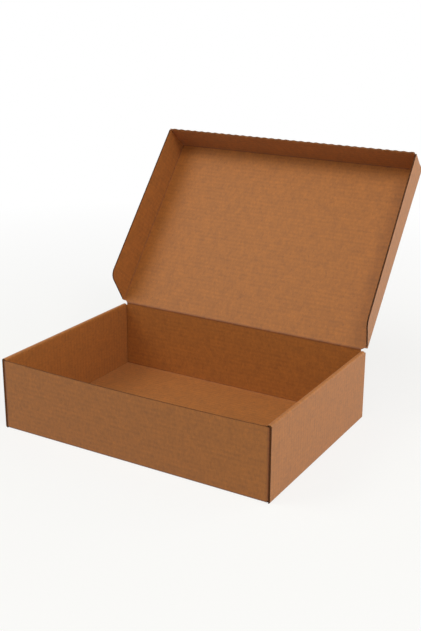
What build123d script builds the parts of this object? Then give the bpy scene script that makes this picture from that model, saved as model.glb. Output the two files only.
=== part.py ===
from build123d import *
import os
from math import cos, radians, sin

os.makedirs("parts", exist_ok=True)

# A shipping box folded from one sheet of corrugated board.
# The origin is the middle of the underside, +X runs along the hinge, +Y points to the hinge side
# and +Z is up. All sizes are in millimetres.

# Tray
length = 400.0  # outside, along the hinge
depth = 275.0  # outside, front wall to back wall
height = 99.0  # underside to the top of the side walls
board = 2.0  # thickness of the corrugated board
crease = 0.5  # inside radius of a folded crease
ply_gap = 0.15  # air between layers that lie on each other
wall_bow = 5.0  # how far the top of the front wall bellies out
corner_flap = 85.0  # reach of the four flaps held between the side layers
tab_length = 45.0  # tabs of the inner panels, locked in slots of the floor
tab_spacing = 130.0  # middle of one tab to the middle of the next
tab_lift = 0.3  # end of a tab above the underside
roll_back = 3.0  # how far the rolled top edges stop short of the back

# Lid
open_angle = 128.7  # from closed to where the lid stands
lid_seat = 0.3  # air between the closed lid and the side walls
lid_clear = 0.4  # air between a square side flap and the outside of the wall it covers
front_clear = 0.3  # air between the front flap and the bellied front wall it covers
hinge_clear = 0.4  # air between the hinge strip and the side walls
flap_height = 50.0  # outside of the lid to the free edge of its flaps
left_splay = 4.0  # degrees that the left flap leans out from square, at its hinge end
left_far_splay = 0.0  # and at its far end
right_splay = 9.5
right_far_splay = 4.5
fold_gap = 0.15  # air across each moving fold
flap_start = 2.0  # hinge to the near end of a side flap, along its fold
flap_taper = 21.0  # how far the near end slopes back at the free edge
flap_shoulder = 16.0  # radius between the sloping end and the free edge
flap_end_gap = 0.4  # air between a side flap and the front flap
wave_pitch = 12.4  # one wave of the front flap's cut edge
wave_rise = 0.8  # half the height of the wave

# Places in the tray that follow from the sizes above
fold = board + crease
half_length = length / 2
half_depth = depth / 2
inner_face = half_length - 3 * board - 2 * ply_gap
corner_x = half_length - board - ply_gap
wall_half = corner_x - fold - crease
wall_top = height - fold - ply_gap
flap_foot = fold + ply_gap
panel_foot = board + ply_gap
panel_end = half_depth - board - ply_gap
flat_half_length = half_length - fold
flat_half_depth = half_depth - fold
flap_reach = flat_half_depth - corner_flap

# The hinge lies in the middle of the board, along the top of the back wall.
half_board = board / 2
hinge_y = half_depth - half_board
hinge_z = height + lid_seat + half_board
hinge_top = hinge_z - half_board - fold_gap
strip_half = inner_face - hinge_clear

# The lid's own places are measured from the hinge: across, up the lid, and inwards.
lid_half = half_length + lid_clear + board
lid_reach = hinge_y + half_depth + wall_bow + front_clear + board
flap_drop = flap_height - half_board
panel_half = lid_half - board - fold_gap
panel_reach = lid_reach - board - fold_gap
side_fold = lid_half - half_board
front_fold = lid_reach - half_board
flap_end = lid_reach - board - flap_end_gap

slope = radians(open_angle)
across = Vector(1, 0, 0)
up_lid = Vector(0, -cos(slope), sin(slope))
inwards = Vector(0, -sin(slope), -cos(slope))
lid_plane = Plane(origin=(0, hinge_y, hinge_z), x_dir=across, z_dir=inwards)


def board_section(outside, inside):
    """Both faces of a folded board, joined at its two cut ends."""
    FilletPolyline(*outside, radius=fold)
    FilletPolyline(*inside, radius=crease)
    Line(outside[0], inside[0])
    Line(outside[-1], inside[-1])


def mirrored(points):
    """The same points on the other side of the middle, in the order that carries on."""
    return [(-x, y) for x, y in reversed(points)]


def lid_section(right, up):
    """A plane across the lid at a place on it, with up the lid and inwards as its two axes."""
    origin = lid_plane.from_local_coords(Vector(right, up, 0))
    return Plane(origin=origin, x_dir=up_lid, z_dir=across)


def lid_outlook(right, up, lean=0):
    """A plane that faces the hinge from a place on the lid, with across and inwards as its axes."""
    origin = lid_plane.from_local_coords(Vector(right, up, 0))
    turn = radians(lean)
    return Plane(origin=origin, x_dir=across * cos(turn) - inwards * sin(turn), z_dir=-up_lid)


def round_edged(reach):
    """The section of a board that stands inwards from its rounded fold."""
    Polyline((half_board, 0), (half_board, reach), (-half_board, reach), (-half_board, 0))
    ThreePointArc((-half_board, 0), (0, -half_board), (half_board, 0))


# Tray: the floor and both rolled-over side walls are one section along the depth
roll_outside = [(inner_face, panel_foot), (inner_face, height), (half_length, height), (half_length, 0)]
roll_inside = [
    (inner_face + board, panel_foot),
    (inner_face + board, height - board),
    (half_length - board, height - board),
    (half_length - board, board),
]
# The front and back walls fold up from the floor
foot_outside = [(flat_half_depth - crease, 0), (half_depth, 0), (half_depth, flap_foot)]
foot_inside = [
    (flat_half_depth - crease, board),
    (half_depth - board, board),
    (half_depth - board, flap_foot),
]
# and turn round each corner into a flap that lies inside the outer panel
turn_outside = [(wall_half, half_depth), (corner_x, half_depth), (corner_x, flap_reach)]
turn_inside = [
    (wall_half, half_depth - board),
    (corner_x - board, half_depth - board),
    (corner_x - board, flap_reach),
]
panel_middle = inner_face + half_board
tab_places = [
    (x, y) for x in (panel_middle, -panel_middle) for y in (tab_spacing / 2, -tab_spacing / 2)
]
panel_ends = [(x, y) for x in (panel_middle, -panel_middle) for y in (half_depth, -half_depth)]
roll_middle = (inner_face + half_length) / 2

with BuildPart() as tray:
    with BuildSketch(Plane.XZ):
        with BuildLine():
            board_section(roll_outside + mirrored(roll_outside), roll_inside + mirrored(roll_inside))
        make_face()
    extrude(amount=half_depth, both=True)

    # The floor stops where the front and back walls fold up
    with Locations((0, half_depth, 0), (0, -half_depth, 0)):
        Box(2 * flat_half_length - crease, 2 * fold, 2 * fold, mode=Mode.SUBTRACT)

    # The inner panels stop short of the front and back walls
    with BuildSketch(Plane.XY):
        with Locations(*panel_ends):
            Rectangle(board, 2 * (half_depth - panel_end))
    extrude(amount=height - fold, mode=Mode.SUBTRACT)

    # The rolled top edges stop short of the lid's hinge
    with Locations((roll_middle, half_depth, height), (-roll_middle, half_depth, height)):
        Box(half_length - inner_face, 2 * roll_back, 2 * fold, mode=Mode.SUBTRACT)

    # Tabs on the inner panels, in slots that go through the floor
    with BuildSketch(Plane.XY):
        with Locations(*tab_places):
            Rectangle(board + 2 * ply_gap, tab_length + 2 * ply_gap)
    extrude(amount=board, mode=Mode.SUBTRACT)
    with BuildSketch(Plane.XY.offset(tab_lift)):
        with Locations(*tab_places):
            Rectangle(board, tab_length)
    extrude(amount=panel_foot - tab_lift)

    # Folds along the floor
    with BuildSketch(Plane.YZ.offset(-wall_half)):
        with BuildLine():
            board_section(foot_outside, foot_inside)
        make_face()
        mirror(about=Plane.YZ)
    extrude(amount=2 * wall_half)

    # Folds round the corners, and the flaps held between the side layers
    with BuildSketch(Plane.XY.offset(flap_foot)):
        with BuildLine():
            board_section(turn_outside, turn_inside)
        make_face()
        mirror(about=Plane.XZ)
        mirror(about=Plane.YZ)
    extrude(amount=wall_top - flap_foot)

    # Back wall, with the strip between the side walls that rises to the hinge
    with BuildSketch(Plane.XZ.offset(-half_depth)):
        with BuildLine():
            Polyline(
                (wall_half, flap_foot),
                (wall_half, wall_top),
                (strip_half, wall_top),
                (strip_half, hinge_top),
                (-strip_half, hinge_top),
                (-strip_half, wall_top),
                (-wall_half, wall_top),
                (-wall_half, flap_foot),
                close=True,
            )
        make_face()
    extrude(amount=board)

    # Front wall: straight along its fold and bellied out at its cut top edge
    with BuildSketch(Plane.XY.offset(flap_foot)):
        with Locations((0, half_board - half_depth)):
            Rectangle(2 * wall_half, board)
    with BuildSketch(Plane.XY.offset(wall_top)):
        with BuildLine():
            outer = ThreePointArc(
                (-wall_half, -half_depth),
                (0, -half_depth - wall_bow),
                (wall_half, -half_depth),
            )
            inner = ThreePointArc(
                (-wall_half, board - half_depth),
                (0, board - half_depth - wall_bow),
                (wall_half, board - half_depth),
            )
            Line(outer @ 0, inner @ 0)
            Line(outer @ 1, inner @ 1)
        make_face()
    loft(ruled=True)
tray.part.label = "tray"
export_step(tray.part, "parts/tray.step")

# Lid panel: rounded about the hinge, and cut off short of its three flap folds
with BuildPart() as lid:
    with BuildSketch(lid_section(-panel_half, 0)):
        with BuildLine():
            Polyline(
                (0, half_board),
                (panel_reach, half_board),
                (panel_reach, -half_board),
                (0, -half_board),
            )
            ThreePointArc((0, -half_board), (-half_board, 0), (0, half_board))
        make_face()
    extrude(amount=2 * panel_half)
lid.part.label = "lid"
export_step(lid.part, "parts/lid.step")

# Side flaps: rounded about their folds and a little twisted, as the creases spring open more
# near the hinge, where each flap has a sloping end with a round shoulder
side_flaps = (
    ("left_flap", -side_fold, -left_splay, -left_far_splay),
    ("right_flap", side_fold, right_splay, right_far_splay),
)
for name, fold_x, splay, far_splay in side_flaps:
    with BuildPart() as side_flap:
        for up, lean in ((0, splay), (flap_end, far_splay)):
            with BuildSketch(lid_outlook(fold_x, up, lean)):
                with BuildLine():
                    round_edged(flap_drop)
                make_face()
        loft(ruled=True)
        with BuildSketch(lid_section(fold_x, 0)):
            with BuildLine():
                FilletPolyline(
                    (flap_start, -board),
                    (flap_start, 0),
                    (flap_start + flap_taper, flap_drop),
                    (flap_end, flap_drop),
                    (flap_end, -board),
                    radius=(0, 0, flap_shoulder, 0, 0),
                    close=True,
                )
            make_face()
        extrude(amount=flap_drop, both=True, mode=Mode.INTERSECT)
    side_flap.part.label = name
    export_step(side_flap.part, f"parts/{name}.step")

# Front flap: rounded about its fold, with a wave cut along its free edge
waves = round(2 * lid_half / wave_pitch)
half_wave = lid_half / waves
wave_line = flap_drop - wave_rise
with BuildPart() as front_flap:
    with BuildSketch(lid_section(-lid_half, front_fold)):
        with BuildLine():
            round_edged(flap_drop)
        make_face()
    extrude(amount=2 * lid_half)
    with BuildSketch(lid_outlook(0, front_fold)):
        with BuildLine():
            for count in range(2 * waves):
                start = count * half_wave - lid_half
                rise = wave_rise if count % 2 else -wave_rise
                ThreePointArc(
                    (start, wave_line),
                    (start + half_wave / 2, wave_line + rise),
                    (start + half_wave, wave_line),
                )
            Polyline(
                (lid_half, wave_line),
                (lid_half, -half_board),
                (-lid_half, -half_board),
                (-lid_half, wave_line),
            )
        make_face()
    extrude(amount=board, both=True, mode=Mode.INTERSECT)
front_flap.part.label = "front_flap"
export_step(front_flap.part, "parts/front_flap.step")
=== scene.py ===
import cmath
from math import atan2, ceil, cos, pi, radians, sin

import bmesh
import bpy
from mathutils import Euler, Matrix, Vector


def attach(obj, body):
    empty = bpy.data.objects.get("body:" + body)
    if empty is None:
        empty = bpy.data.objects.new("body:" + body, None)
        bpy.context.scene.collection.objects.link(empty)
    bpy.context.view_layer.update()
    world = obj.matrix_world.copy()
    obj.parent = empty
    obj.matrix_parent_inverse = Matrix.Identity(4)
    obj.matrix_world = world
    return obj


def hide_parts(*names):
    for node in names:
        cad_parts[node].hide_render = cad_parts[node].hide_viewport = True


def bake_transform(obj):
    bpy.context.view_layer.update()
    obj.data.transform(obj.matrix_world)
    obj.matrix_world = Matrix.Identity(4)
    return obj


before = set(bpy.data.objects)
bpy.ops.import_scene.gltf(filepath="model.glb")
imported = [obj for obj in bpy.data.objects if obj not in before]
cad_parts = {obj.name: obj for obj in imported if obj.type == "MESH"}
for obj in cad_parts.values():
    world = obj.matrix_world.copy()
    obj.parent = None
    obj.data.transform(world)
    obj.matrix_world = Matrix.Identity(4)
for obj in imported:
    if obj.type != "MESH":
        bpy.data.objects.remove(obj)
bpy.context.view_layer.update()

# Floor and side walls of the tray: one run of corrugated board, two flat papers glued to a fluted
# one. It is cut flat. Each side wall is folded up, rolled over into a narrow top and brought down
# again inside, where two tabs lock it in slots of the floor.
length, depth, height = 400.0, 275.0, 99.0
board, paper, fluting, flute_pitch = 2.0, 0.35, 0.2, 6.4
steps_a_flute, steps_a_fold = 8, 4
ply_gap = 0.15
fold = 2.5
bend = fold - board / 2
bend_run = bend * pi / 2
beside_fold, least_step = 3.0, 0.1
crease_fade = 2.0
sharp_from = 35.0
edge_on = 0.3
side_layers = 3 * board + 2 * ply_gap
panel_foot = board + ply_gap
tab_lift, tab_length, tab_spacing = 0.3, 45.0, 130.0
roll_back = 3.0
back_gap = 1.1
notch_inset = 0.25
past_edge = 1.0


def roll_out(bm, cuts, low, high, level, rows):
    """A flat sheet in mm, divided along X at the cuts and along Y into even rows."""
    row = [bm.verts.new((x, low, level)) for x in cuts]
    edges = [bm.edges.new(pair) for pair in zip(row, row[1:])]
    step = (0, (high - low) / rows, 0)
    bmesh.ops.spin(bm, geom=row + edges, axis=(0, 0, 1), dvec=step, angle=0, steps=rows)


def divide(bm, place, facing, take_off=False):
    """Divides a sheet along an upright plane, and where asked takes off what lies in front of it."""
    every = [*bm.verts, *bm.edges, *bm.faces]
    bmesh.ops.bisect_plane(
        bm, geom=every, dist=0.001, plane_co=place, plane_no=facing, clear_outer=take_off
    )


def cut_hole(bm, x0, x1, y0, y1):
    for x in (x0, x1):
        divide(bm, (x, 0, 0), (1, 0, 0))
    for y in (y0, y1):
        divide(bm, (0, y, 0), (0, 1, 0))
    inside = []
    for face in bm.faces:
        x, y, _ = face.calc_center_median()
        if x0 < x < x1 and y0 < y < y1:
            inside.append(face)
    bmesh.ops.delete(bm, geom=inside, context="FACES")


def thicken(bm, faces, thick):
    lifted = bmesh.ops.extrude_face_region(bm, geom=faces)["geom"]
    tops = [part for part in lifted if isinstance(part, bmesh.types.BMVert)]
    bmesh.ops.translate(bm, vec=(0, 0, thick), verts=tops)


def flat_board(cuts, low, high, holes=(), trims=(), liner_rows=1):
    """A flat board in mm, from its outer face up: flutes run along X and follow on along Y."""
    bm = bmesh.new()
    ripples = ceil((high - low) / flute_pitch * steps_a_flute)
    swing = board / 2 - paper - fluting / 2
    layers = (
        (0, 0.0, liner_rows, paper, 0.0),
        (1, (board - fluting) / 2, ripples, fluting, swing),
        (2, board - paper, liner_rows, paper, 0.0),
    )
    for kind, level, rows, _, _ in layers:
        known = set(bm.faces)
        roll_out(bm, cuts, low, high, level, rows)
        for face in bm.faces:
            if face not in known:
                face.material_index = kind
    for hole in holes:
        cut_hole(bm, *hole)
    for place, facing in trims:
        divide(bm, place, facing, take_off=True)
    for kind, _, _, thick, wave in layers:
        faces = [face for face in bm.faces if face.material_index == kind]
        for vert in {v for face in faces for v in face.verts}:
            vert.co.z += wave * sin(2 * pi * vert.co.y / flute_pitch)
        thicken(bm, faces, thick)
    bm.normal_update()
    for face in bm.faces:
        # The papers take the first material, the fluting the second and what was cut the third, a dark
        # paper that paints shade on the cut edges.
        face.material_index = 2 if abs(face.normal.z) < edge_on else face.material_index % 2
    return bm


def section_cuts(runs):
    """Where a board is divided along its flutes, so that it can go round its folds."""
    cuts, at = [0.0], 0.0
    for run in runs[:-1]:
        if run > 2 * beside_fold:
            cuts.append(at + run - beside_fold)
        at += run
        cuts += [at + bend_run * part / steps_a_fold for part in range(steps_a_fold + 1)]
        at += bend_run
        cuts.append(at + beside_fold)
    cuts.append(at + runs[-1])
    kept = []
    for cut in sorted(cuts):
        if cut <= at + runs[-1] and (not kept or cut - kept[-1] > least_step):
            kept.append(cut)
    return kept


def on_section(s, t, start, heading, runs):
    """Where a point s along a board and t in from its outer face lands, as it turns left at folds."""
    ahead = cmath.rect(1, radians(heading))
    middle = start + 1j * ahead * board / 2
    for n, run in enumerate(runs):
        step = s if n == len(runs) - 1 else min(s, run)
        middle += ahead * step
        s -= step
        if s < 1e-6:
            break
        turn = min(s, bend_run) / bend
        centre = middle + 1j * ahead * bend
        ahead *= cmath.rect(1, turn)
        middle = centre - 1j * ahead * bend
        s -= turn * bend
        if s < 1e-6:
            break
    spot = middle + 1j * ahead * (t - board / 2)
    return spot.real, spot.imag


def fold_up(name, bm, place, sheet, body, creases=(), across=False):
    """Notes where each point lay on the flat sheet, folds the board into place and hands it over."""
    lay = bm.verts.layers.float_vector.new("flat")
    mark = bm.verts.layers.float.new("crease")
    mark_reach = bend_run / 2 + crease_fade
    for vert in bm.verts:
        x, y, z = vert.co
        vert[lay] = Vector((x + sheet[0], y + sheet[1], z)) / 1000
        along = y if across else x
        near = min((abs(along - line) for line in creases), default=mark_reach)
        vert[mark] = max(0.0, 1 - near / mark_reach)
        vert.co = Vector(place(x, y, z)) / 1000
    bmesh.ops.remove_doubles(bm, verts=bm.verts[:], dist=1e-7)
    bmesh.ops.recalc_face_normals(bm, faces=bm.faces[:])
    mesh = bpy.data.meshes.new(name)
    bm.to_mesh(mesh)
    bm.free()
    mesh.shade_smooth()
    mesh.set_sharp_from_angle(angle=radians(sharp_from))
    piece = bpy.data.objects.new(name, mesh)
    bpy.context.scene.collection.objects.link(piece)
    for material in (kraft, kraft_fluting, cut_edge_shade):
        mesh.materials.append(material)
    if isinstance(body, str):
        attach(piece, body)
    else:
        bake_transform(piece)
    return piece


def group_with(name, inputs, outputs):
    """An empty node group with its sockets, and its two end nodes."""
    tree = bpy.data.node_groups.new(name, "ShaderNodeTree")
    for label, kind in inputs:
        tree.interface.new_socket(label, in_out="INPUT", socket_type=kind)
    for label in outputs:
        tree.interface.new_socket(label, in_out="OUTPUT", socket_type="NodeSocketFloat")
    return tree, tree.nodes.new("NodeGroupInput"), tree.nodes.new("NodeGroupOutput")


def math_node(tree, operation, a, b=0.0, clamp=False):
    node = tree.nodes.new("ShaderNodeMath")
    node.operation = operation
    node.use_clamp = clamp
    for socket, value in zip(node.inputs, (a, b)):
        if isinstance(value, (int, float)):
            socket.default_value = value
        else:
            tree.links.new(value, socket)
    return node.outputs[0]


def plus(tree, a, b):
    return math_node(tree, "ADD", a, b)


def minus(tree, a, b, clamp=False):
    return math_node(tree, "SUBTRACT", a, b, clamp)


def times(tree, a, b, clamp=False):
    return math_node(tree, "MULTIPLY", a, b, clamp)


def noise_node(tree, vector, scale, detail, rough=0.5, stretch=None):
    node = tree.nodes.new("ShaderNodeTexNoise")
    node.inputs["Scale"].default_value = scale
    node.inputs["Detail"].default_value = detail
    node.inputs["Roughness"].default_value = rough
    if stretch:
        squeeze = tree.nodes.new("ShaderNodeMapping")
        squeeze.inputs["Scale"].default_value = stretch
        tree.links.new(vector, squeeze.inputs["Vector"])
        vector = squeeze.outputs[0]
    tree.links.new(vector, node.inputs["Vector"])
    return node.outputs["Fac"]


def swing_node(tree, *noise):
    """Noise that swings about nought."""
    return minus(tree, noise_node(tree, *noise), 0.5)


# pulp: mottled brown paper with long fibres along the web and scattered dark and pale flecks
pulp, pulp_in, pulp_out = group_with(
    "pulp",
    (
        ("Flat", "NodeSocketVector"),
        ("Cloud", "NodeSocketFloat"),
        ("Fibre", "NodeSocketFloat"),
        ("Fleck", "NodeSocketFloat"),
    ),
    ("Tone", "Grain"),
)
flat_at = pulp_in.outputs["Flat"]
clouds = swing_node(pulp, flat_at, 70, 3.0)
patches = swing_node(pulp, flat_at, 260, 3.0, 0.6, (1, 0.6, 1))
mottle = plus(pulp, times(pulp, clouds, 0.6), patches)
mottled = times(pulp, mottle, pulp_in.outputs["Cloud"])
threads = swing_node(pulp, flat_at, 1500, 3.0, 0.65, (1, 0.1, 1))
crossed = swing_node(pulp, flat_at, 900, 2.0, 0.6, (0.3, 1, 1))
grain = plus(pulp, threads, times(pulp, crossed, 0.6))
fibrous = times(pulp, grain, pulp_in.outputs["Fibre"])
specks = noise_node(pulp, flat_at, 700, 1.0, 0.5, (1, 0.5, 1))
dark = times(pulp, minus(pulp, specks, 0.70, True), 4.0, True)
pale = times(pulp, minus(pulp, 0.31, specks, True), 3.0, True)
flecked = times(pulp, minus(pulp, times(pulp, pale, 0.5), dark), pulp_in.outputs["Fleck"])
tone = plus(pulp, plus(pulp, mottled, fibrous), plus(pulp, flecked, 1.0))
pulp.links.new(tone, pulp_out.inputs["Tone"])
pulp.links.new(grain, pulp_out.inputs["Grain"])

# washboard: the flutes show through the paper as faint ridges, stronger in some places
washboard, wash_in, wash_out = group_with(
    "washboard",
    (("Flat", "NodeSocketVector"), ("Pitch", "NodeSocketFloat")),
    ("Ridge",),
)
flat_at = wash_in.outputs["Flat"]
parts = washboard.nodes.new("ShaderNodeSeparateXYZ")
washboard.links.new(flat_at, parts.inputs[0])
waver = times(washboard, noise_node(washboard, flat_at, 35, 2.0), 0.0012)
wandering = plus(washboard, parts.outputs[1], waver)
phase = math_node(washboard, "DIVIDE", wandering, wash_in.outputs["Pitch"])
ridge = math_node(washboard, "SINE", times(washboard, phase, 2 * pi))
gaps = minus(washboard, noise_node(washboard, flat_at, 45, 2.0, 0.6, (0.5, 1.5, 1)), 0.3)
uneven = times(washboard, gaps, 3.0, True)
washboard.links.new(times(washboard, ridge, uneven), wash_out.inputs["Ridge"])


def kraft_paper(name, colour, crease_shade_colour, cloud, fibre, fleck, wash, gloss, rough):
    """Brown kraft paper: pulp, show-through of the flutes, and painted shade along the fold lines."""
    material = bpy.data.materials.new(name)
    material.use_nodes = True
    tree = material.node_tree
    shader = tree.nodes["Principled BSDF"]
    shader.inputs["Specular IOR Level"].default_value = gloss
    shader.inputs["Sheen Weight"].default_value = 0.12
    shader.inputs["Sheen Roughness"].default_value = 0.6
    flat = tree.nodes.new("ShaderNodeAttribute")
    flat.attribute_name = "flat"
    folds = tree.nodes.new("ShaderNodeAttribute")
    folds.attribute_name = "crease"
    stock = tree.nodes.new("ShaderNodeGroup")
    stock.node_tree = pulp
    for label, value in (("Cloud", cloud), ("Fibre", fibre), ("Fleck", fleck)):
        stock.inputs[label].default_value = value
    tree.links.new(flat.outputs["Vector"], stock.inputs["Flat"])
    ribs = tree.nodes.new("ShaderNodeGroup")
    ribs.node_tree = washboard
    ribs.inputs["Pitch"].default_value = flute_pitch / 1000
    tree.links.new(flat.outputs["Vector"], ribs.inputs["Flat"])
    # Painted shade along the folds: the crease mask, patchy along its length, darkens the paper towards the
    # crease colour.
    crease_shade_patches = noise_node(tree, flat.outputs["Vector"], 180, 3.0, 0.6)
    crease_shade = math_node(tree, "POWER", folds.outputs["Fac"], 1.6)
    line = times(tree, crease_shade, plus(tree, crease_shade_patches, 0.3), True)
    body = tree.nodes.new("ShaderNodeMix")
    body.data_type = "RGBA"
    body.inputs[6].default_value = (*colour, 1)
    body.inputs[7].default_value = (*crease_shade_colour, 1)
    tree.links.new(line, body.inputs[0])
    level = plus(tree, stock.outputs["Tone"], times(tree, ribs.outputs["Ridge"], wash))
    shaded = tree.nodes.new("ShaderNodeMix")
    shaded.data_type = "RGBA"
    shaded.blend_type = "MULTIPLY"
    shaded.inputs[0].default_value = 1.0
    tree.links.new(body.outputs[2], shaded.inputs[6])
    tree.links.new(level, shaded.inputs[7])
    tree.links.new(shaded.outputs[2], shader.inputs["Base Color"])
    dull = plus(tree, times(tree, stock.outputs["Grain"], 0.12), rough)
    tree.links.new(dull, shader.inputs["Roughness"])
    fuzz = times(tree, stock.outputs["Grain"], 0.25)
    relief = plus(tree, fuzz, times(tree, ribs.outputs["Ridge"], 0.35))
    bump = tree.nodes.new("ShaderNodeBump")
    bump.inputs["Strength"].default_value = 0.5
    bump.inputs["Distance"].default_value = 0.00008
    tree.links.new(relief, bump.inputs["Height"])
    tree.links.new(bump.outputs[0], shader.inputs["Normal"])
    return material


# The crease colours below are painted shade for the fold lines, not a colour of the paper.
kraft = kraft_paper(
    "kraft paper",
    colour=(0.388, 0.127, 0.0135),
    crease_shade_colour=(0.17, 0.04, 0.004),
    cloud=0.6,
    fibre=0.6,
    fleck=1.1,
    wash=0.065,
    gloss=0.52,
    rough=0.58,
)
kraft_fluting = kraft_paper(
    "fluting paper",
    colour=(0.22, 0.075, 0.012),
    crease_shade_colour=(0.12, 0.038, 0.006),
    cloud=0.2,
    fibre=0.3,
    fleck=0.3,
    wash=0.0,
    gloss=0.25,
    rough=0.85,
)
# Cut edges: the paper painted far darker, as painted shade on the cut faces of the board.
cut_edge_shade = kraft_paper(
    "cut edges in painted shade",
    colour=(0.085, 0.026, 0.005),
    crease_shade_colour=(0.06, 0.018, 0.003),
    cloud=0.5,
    fibre=0.9,
    fleck=3.0,
    wash=0.0,
    gloss=0.15,
    rough=0.9,
)

up_inside = height - fold - panel_foot
over_top = side_layers - 2 * fold
up_outside = height - 2 * fold
over_floor = length - 2 * fold
roll_runs = [up_inside, over_top, up_outside, over_floor, up_outside, over_top, up_inside]
roll_end = sum(roll_runs) + (len(roll_runs) - 1) * bend_run
roll_start = complex(-length / 2 + side_layers, panel_foot)
tab_out = panel_foot - tab_lift
tab_half = tab_length / 2
floor_from = up_inside + over_top + up_outside + 3 * bend_run
floor_low, floor_high = floor_from + notch_inset, roll_end - floor_from - notch_inset
half_depth = depth / 2
beyond = half_depth + past_edge


def floor_point(x, y, z):
    across, rise = on_section(x, z, roll_start, 90, roll_runs)
    return across, y, rise


def both_ends(x0, x1, y0, y1):
    return [(x0, x1, y0, y1), (roll_end - x1, roll_end - x0, y0, y1)]


roll_holes = [
    (floor_low, floor_high, half_depth - fold, beyond),
    (floor_low, floor_high, -beyond, fold - half_depth),
    *both_ends(-tab_out - past_edge, up_inside, half_depth - panel_foot - back_gap, beyond),
    *both_ends(-tab_out - past_edge, up_inside, -beyond, panel_foot - half_depth),
    *both_ends(up_inside, up_inside + over_top + 2 * bend_run, half_depth - roll_back, beyond),
    *both_ends(-tab_out - past_edge, 0, tab_spacing / 2 + tab_half, beyond),
    *both_ends(-tab_out - past_edge, 0, tab_half - tab_spacing / 2, tab_spacing / 2 - tab_half),
    *both_ends(-tab_out - past_edge, 0, -beyond, -tab_spacing / 2 - tab_half),
]
slot_at = floor_from + side_layers - board / 2 - fold
slot_half = board / 2 + ply_gap
for side in (-1, 1):
    slot_low = side * tab_spacing / 2 - tab_half - ply_gap
    slot_high = side * tab_spacing / 2 + tab_half + ply_gap
    roll_holes += both_ends(slot_at - slot_half, slot_at + slot_half, slot_low, slot_high)

roll_cuts = [-tab_out, *section_cuts(roll_runs), roll_end + tab_out]
roll_board = flat_board(roll_cuts, -half_depth, half_depth, roll_holes)
floor_and_sides = fold_up("floor_and_sides", roll_board, floor_point, (-roll_end / 2, 0), "tray")
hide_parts("tray")

# Front wall: a single board folded up from the floor, with a plain cut top edge that bellies out.
# It turns round both corners into flaps that are held between the layers of the side walls.
corner_flap = 85.0
wall_bow = 4.9
wall_steps = 24
front_lay = 6.0
wall_foot = fold + ply_gap
wall_top = height - fold - ply_gap
corner_x = length / 2 - board - ply_gap
wall_half = corner_x - fold
wall_runs = [corner_flap, 2 * wall_half, corner_flap]
wall_start = complex(-corner_x, corner_flap + fold - half_depth)
wall_from = corner_flap + bend_run
belly_cuts = [wall_from + 2 * wall_half * part / wall_steps for part in range(1, wall_steps)]
wall_cuts = sorted(section_cuts(wall_runs) + belly_cuts)


def fold_middles(runs):
    """The middle of each fold, measured along the flat board."""
    return [sum(runs[: n + 1]) + bend_run * (n + 0.5) for n in range(len(runs) - 1)]


def wall_point(s, rise, t):
    x, y = on_section(s, t, wall_start, 270, wall_runs)
    return x, y, rise


def front_point(s, rise, t):
    x, y, _ = wall_point(s, rise, t)
    if abs(x) < wall_half:
        belly = 1 - (x / wall_half) ** 2
        y -= wall_bow * belly * (rise - wall_foot) / (wall_top - wall_foot)
    return x, y, rise


wall_lay = -sum(wall_runs) / 2 - bend_run
wall_creases = fold_middles(wall_runs)
front_board = flat_board(wall_cuts, wall_foot, wall_top)
fold_up("front_wall", front_board, front_point, (wall_lay, -half_depth - front_lay), "tray", wall_creases)

# Foot of the front wall: the crushed strip of the same board where the floor turns up. It lies
# between the floor and the wall and is as wide as the wall is between its corners.
foot_runs = [ply_gap, 0.0]
foot_length = ply_gap + bend_run
foot_rows = 6


def solid_strip(cuts, low, high, rows):
    """A short flat strip of board at a fold, where the flutes are crushed shut."""
    bm = bmesh.new()
    roll_out(bm, cuts, low, high, 0, rows)
    thicken(bm, bm.faces[:], board)
    return bm


def foot_point(x, y, t):
    out, rise = on_section(y, t, complex(-half_depth, wall_foot), 270, foot_runs)
    return x, out, rise


foot_strip = solid_strip((-wall_half, wall_half), 0, foot_length, foot_rows)
foot_creases = [foot_length / 2]
fold_up("front_foot", foot_strip, foot_point, (0, -half_depth), "tray", foot_creases, True)

# Back wall: the same board turned up behind, with corner flaps of its own. Between the side walls
# it carries on up into the lid. Above its fold the flutes are crushed for a little way.
crushed_rise = 2.0


def back_point(s, rise, t):
    x, y, _ = wall_point(s, rise, t)
    return -x, -y, rise


back_board = flat_board(wall_cuts, wall_foot + crushed_rise, wall_top)
fold_up("back_wall", back_board, back_point, (wall_lay, half_depth), "tray", wall_creases)

# Foot of the back wall: the crushed strip where the floor turns up behind, with the crushed part
# of the wall above it. The line that it makes inside the box is painted shade, darker than the paper.
back_foot_rows = 12


def back_foot_point(x, y, t):
    if y < 0:
        return -x, half_depth - t, wall_foot - y
    x, out, rise = foot_point(x, y, t)
    return -x, -out, rise


back_strip = solid_strip((-wall_half, wall_half), -crushed_rise, foot_length, back_foot_rows)
fold_up("back_foot", back_strip, back_foot_point, (0, half_depth), "tray", foot_creases, True)

# Hinge: one straight crease in the board along the top of the back wall. The lid has been bent
# back past upright and stays there.
open_angle = 128.7
lid_seat = 0.3
lid_clear, hinge_clear = 0.4, 0.4
hinge_y = half_depth - board / 2
hinge_z = height + lid_seat + board / 2
lean_back = radians(open_angle - 90)
strip_half = length / 2 - side_layers - hinge_clear
hinge_reach = 3.0
hinge_bend = 1.5
hinge_steps, hinge_rows = 40, 14
side_x = length / 2 + lid_clear + board / 2
fold_strip = 4.0
lid_edge = side_x - fold_strip


def lid_point(x, up, inwards):
    """A place on the open lid: across, up from the hinge, and inwards from the board's middle."""
    y = hinge_y + up * sin(lean_back) - inwards * cos(lean_back)
    z = hinge_z + up * cos(lean_back) + inwards * sin(lean_back)
    return x, y, z


def eased(part):
    part = min(max(part, 0.0), 1.0)
    return part * part * (3 - 2 * part)


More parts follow.
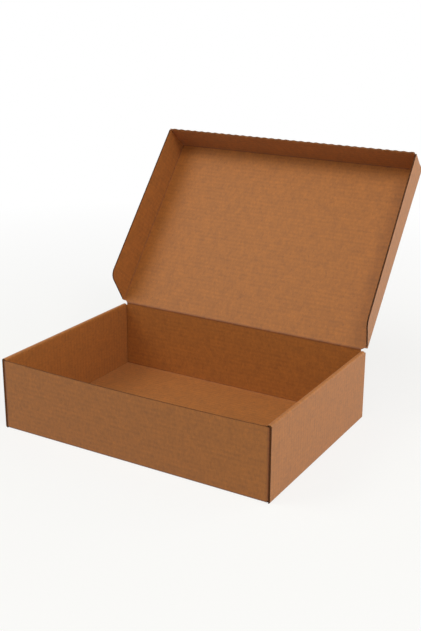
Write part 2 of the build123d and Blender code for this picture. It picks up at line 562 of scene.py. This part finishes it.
def hinge_point(x, up, t):
    turn = lean_back * eased((up + hinge_bend) / (2 * hinge_bend))
    inwards = t - board / 2
    widen = 1 + (lid_edge / strip_half - 1) * min(max(up / hinge_reach, 0), 1)
    y = hinge_y + up * sin(turn) - inwards * cos(turn)
    z = hinge_z + up * cos(turn) + inwards * sin(turn)
    return x * widen, y, z


sheet_lid = hinge_z - wall_foot + half_depth
hinge_cuts = [-strip_half + 2 * strip_half * part / hinge_steps for part in range(hinge_steps + 1)]
hinge_strip = solid_strip(hinge_cuts, wall_top - hinge_z, hinge_reach, hinge_rows)
hinge_turn = ("tray", "lid", (0, hinge_y, hinge_z - hinge_bend), lid_point(0, hinge_bend, 0))
fold_up("hinge_fold", hinge_strip, hinge_point, (0, sheet_lid), hinge_turn, [0.0], True)

# Lid: one flat panel of the board, seen from inside, with its flutes from side to side. It reaches
# over the front wall and its belly, and its flaps are folded from its other three edges.
belly_room = 5.3
lid_reach = hinge_y + half_depth + belly_room + board
front_fold = lid_reach - board / 2
lid_top = front_fold - fold_strip


def lid_panel_point(x, up, t):
    return lid_point(x, up, t - board / 2)


lid_board = flat_board((-lid_edge, lid_edge), hinge_reach, lid_top)
lid = fold_up("lid_panel", lid_board, lid_panel_point, (0, sheet_lid), "lid")
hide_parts("lid")

# Side flaps of the lid: folded in from its left and right edges, a little sprung open near the hinge,
# where each has a sloping end with a round shoulder. They close over the outside of the tray.
flap_height = 49.95
flap_end_gap = 0.4
flap_start, flap_taper, shoulder, shoulder_steps = 2.0, 21.0, 16.0, 8
flap_rows, fold_steps = 24, 14
corner_half = 1.2
turn_half = 0.85
flap_drop = flap_height - board / 2
flap_end = lid_reach - board - flap_end_gap
side_runs = [fold_strip - bend, flap_drop - bend]
side_reach = sum(side_runs) + bend_run
strip_run = 2 * (fold_strip - bend) + bend_run
drop_from = side_reach - flap_drop


def side_point(side, splay, far_splay):
    def place(s, up, t):
        x, inwards = on_section(s, t, complex(lid_edge, -board / 2), 0, side_runs)
        out = x - side_x
        past_corner = (out + inwards) / 2**0.5
        share = eased((past_corner + corner_half) / (2 * corner_half))
        lean = radians(splay + (far_splay - splay) * up / flap_end) * share
        x = side_x + out * cos(lean) + inwards * sin(lean)
        inwards = inwards * cos(lean) - out * sin(lean)
        return lid_point(side * x, up, inwards)

    return place


def mitre(strip, *ends):
    """Cuts the ends of a strip aslant, where two flaps meet, and closes them."""
    for place, facing in ends:
        divide(strip, place, Vector(facing).normalized(), take_off=True)
    bmesh.ops.holes_fill(strip, edges=[edge for edge in strip.edges if edge.is_boundary])


slope = Vector((flap_taper, -flap_drop, 0)).normalized()
low_end = Vector((drop_from, flap_start, 0))
round_up = low_end.y - ((flap_drop - shoulder) * slope.x + shoulder) / slope.y
round_at = Vector((side_reach - shoulder, round_up, 0))
flap_trims = [(low_end, slope)]
for part in range(1, shoulder_steps):
    angle = atan2(slope.y, slope.x) * (1 - part / shoulder_steps)
    facing = Vector((cos(angle), sin(angle), 0))
    flap_trims.append((round_at + shoulder * facing, facing))

strip_cuts = [strip_run * part / fold_steps for part in range(fold_steps + 1)]
flap_lay = (lid_edge, sheet_lid)
for name, side, splay, far_splay in (("left_flap", -1, 4.0, 0.0), ("right_flap", 1, 9.5, 4.5)):
    place = side_point(side, splay, far_splay)
    flap_board = flat_board(
        (strip_run, side_reach), flap_start, flap_end, trims=flap_trims, liner_rows=flap_rows
    )
    flap = fold_up(name + "_board", flap_board, place, flap_lay, name)
    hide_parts(name)
    strip = solid_strip(strip_cuts, hinge_reach, flap_end, flap_rows)
    mitre(strip, ((0, lid_top, 0), (-1, 1, 0)))
    start = lid_point(side * (side_x - turn_half), flap_end / 2, -turn_half)
    end = lid_point(side * (side_x + turn_half), flap_end / 2, turn_half)
    fold_up(name + "_fold", strip, place, flap_lay, ("lid", name, start, end), [strip_run / 2])

# Front flap of the lid: folded in from its far edge, and cut along its free edge in small waves,
# so that the edge is not sharp to the hand. That edge faces up into the light, so its cut faces take the
# plain paper, not the painted shade of the other cut edges.
lid_half = side_x + board / 2
wave_pitch, wave_rise, wave_zone = 12.4, 0.8, 3.0
steps_a_wave, strip_parts = 8, 10
wave_count = round(2 * lid_half / wave_pitch)
wave_steps = steps_a_wave * wave_count
front_runs = [fold_strip - bend, flap_drop - wave_rise - bend]
front_reach = sum(front_runs) + bend_run


def front_flap_point(x, s, t):
    if s > front_reach - wave_zone:
        wave = sin(2 * pi * (x + lid_half) * wave_count / (2 * lid_half) + pi)
        s += wave_rise * wave * (s - front_reach + wave_zone) / wave_zone
    up, inwards = on_section(s, t, complex(lid_top, -board / 2), 0, front_runs)
    return lid_point(x, up, inwards)


sheet_front_flap = (0, sheet_lid + lid_top)
wave_cuts = [-lid_half + 2 * lid_half * part / wave_steps for part in range(wave_steps + 1)]
flap_board = flat_board(wave_cuts, strip_run, front_reach)
front_flap = fold_up("front_flap_board", flap_board, front_flap_point, sheet_front_flap, "front_flap")
# This cut edge faces up into the light, so it takes the lit paper in place of the painted shade of the cut
# edges.
front_flap.data.materials[2] = kraft
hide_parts("front_flap")
strip_cuts = [lid_half * part / strip_parts for part in range(-strip_parts, strip_parts + 1)]
front_strip = solid_strip(strip_cuts, 0, strip_run, fold_steps)
mitre(front_strip, *(((side * lid_edge, 0, 0), (side, -1, 0)) for side in (-1, 1)))
start = lid_point(0, front_fold - turn_half, -turn_half)
end = lid_point(0, front_fold + turn_half, turn_half)
front_turn = ("lid", "front_flap", start, end)
front_creases = [strip_run / 2]
fold_up("front_flap_fold", front_strip, front_flap_point, sheet_front_flap, front_turn, front_creases, True)

# Table top under the box: pale and matt, fading into a white surround. The light that it throws
# back onto the box is weaker than the white that the camera sees.
table_radius, table_sides = 6.0, 96
fade_from, fade_to = 0.4, 1.4
table_shade, table_white = 0.6, 0.9
glow_near, glow_far = 0.78, 1.0


def seen_straight(tree):
    """One for rays from the camera, from a reflection or through something clear, else nought."""
    path = tree.nodes.new("ShaderNodeLightPath")
    seen = math_node(tree, "MAXIMUM", path.outputs["Is Camera Ray"], path.outputs["Is Glossy Ray"])
    return math_node(tree, "MAXIMUM", seen, path.outputs["Is Transmission Ray"])


bm = bmesh.new()
bmesh.ops.create_circle(bm, cap_ends=True, segments=table_sides, radius=table_radius)
table_mesh = bpy.data.meshes.new("table_top")
bm.to_mesh(table_mesh)
bm.free()
table_top = bpy.data.objects.new("table_top", table_mesh)
bpy.context.scene.collection.objects.link(table_top)
matt_white = bpy.data.materials.new("pale table")
matt_white.use_nodes = True
tree = matt_white.node_tree
tree.nodes.clear()
output = tree.nodes.new("ShaderNodeOutputMaterial")
matt = tree.nodes.new("ShaderNodeBsdfDiffuse")
glow = tree.nodes.new("ShaderNodeEmission")
glow.inputs["Strength"].default_value = 1.0
bright = tree.nodes.new("ShaderNodeMapRange")
bright.inputs["To Min"].default_value = table_shade
bright.inputs["To Max"].default_value = table_white
where = tree.nodes.new("ShaderNodeTexCoord")
far = tree.nodes.new("ShaderNodeVectorMath")
far.operation = "LENGTH"
tree.links.new(where.outputs["Object"], far.inputs[0])
fade = tree.nodes.new("ShaderNodeMapRange")
fade.inputs["From Min"].default_value = fade_from
fade.inputs["From Max"].default_value = fade_to
fade.inputs["To Min"].default_value = glow_near
fade.inputs["To Max"].default_value = glow_far
tree.links.new(far.outputs["Value"], fade.inputs["Value"])
seen = seen_straight(tree)
tree.links.new(seen, bright.inputs["Value"])
tree.links.new(bright.outputs[0], matt.inputs["Color"])
blend = tree.nodes.new("ShaderNodeMixShader")
tree.links.new(times(tree, fade.outputs[0], seen), blend.inputs[0])
tree.links.new(matt.outputs[0], blend.inputs[1])
tree.links.new(glow.outputs[0], blend.inputs[2])
tree.links.new(blend.outputs[0], output.inputs["Surface"])
table_mesh.materials.append(matt_white)

# Surround: plain white behind the box for the camera and for reflections, and a low even light
# from all round it for everything else.
warm_white = (1.0, 0.98, 0.86)
world = bpy.data.worlds.new("surround")
bpy.context.scene.world = world
world.use_nodes = True
tree = world.node_tree
tree.nodes.clear()
output = tree.nodes.new("ShaderNodeOutputWorld")
white = tree.nodes.new("ShaderNodeBackground")
white.inputs["Color"].default_value = (1, 1, 1, 1)
dim = tree.nodes.new("ShaderNodeBackground")
dim.inputs["Color"].default_value = (*warm_white, 1)
dim.inputs["Strength"].default_value = 0.2
blend = tree.nodes.new("ShaderNodeMixShader")
tree.links.new(seen_straight(tree), blend.inputs[0])
tree.links.new(dim.outputs[0], blend.inputs[1])
tree.links.new(white.outputs[0], blend.inputs[2])
tree.links.new(blend.outputs[0], output.inputs["Surface"])

# Soft boxes: square warm white panels all round, the strongest high in front on the left. They stand
# at their places in metres, face a point just above the tray, and have a width and a power in watts.
soft_boxes = (
    ("front_left", (-1.3, -1.0, 1.9), 1.4, 21.5),
    ("right", (2.2, 0.2, 0.6), 1.4, 13.0),
    ("right_high", (1.3, -0.6, 1.9), 0.6, 13.0),
    ("front_high", (0.3, -1.8, 2.0), 1.4, 9.0),
    ("back_right", (1.6, 1.7, 0.8), 1.4, 13.5),
)
aim = Vector((0, 0, 0.12))
for name, at, wide, power in soft_boxes:
    lamp = bpy.data.lights.new(name, "AREA")
    lamp.shape = "SQUARE"
    lamp.size = wide
    lamp.energy = power
    lamp.color = warm_white
    box = bpy.data.objects.new(name, lamp)
    box.location = at
    box.rotation_euler = (aim - Vector(at)).to_track_quat("-Z", "Y").to_euler()
    bpy.context.scene.collection.objects.link(box)

# Camera: a little above the box and to its right, where the photograph was taken from. Its place
# and lens were fitted to the box's edges in the photograph.
camera_data = bpy.data.cameras.new("camera")
camera_data.sensor_width = 36.0
camera_data.lens = 56.87
camera_data.shift_x = -0.0309
camera_data.shift_y = -0.0404
camera_data.clip_end = 50.0
camera = bpy.data.objects.new("camera", camera_data)
camera.location = (0.66400, -1.05132, 0.58323)
camera.rotation_euler = Euler((radians(72.434), radians(-0.572), radians(29.827)))
bpy.context.scene.collection.objects.link(camera)
bpy.context.scene.camera = camera
bpy.context.scene.view_settings.view_transform = "Standard"
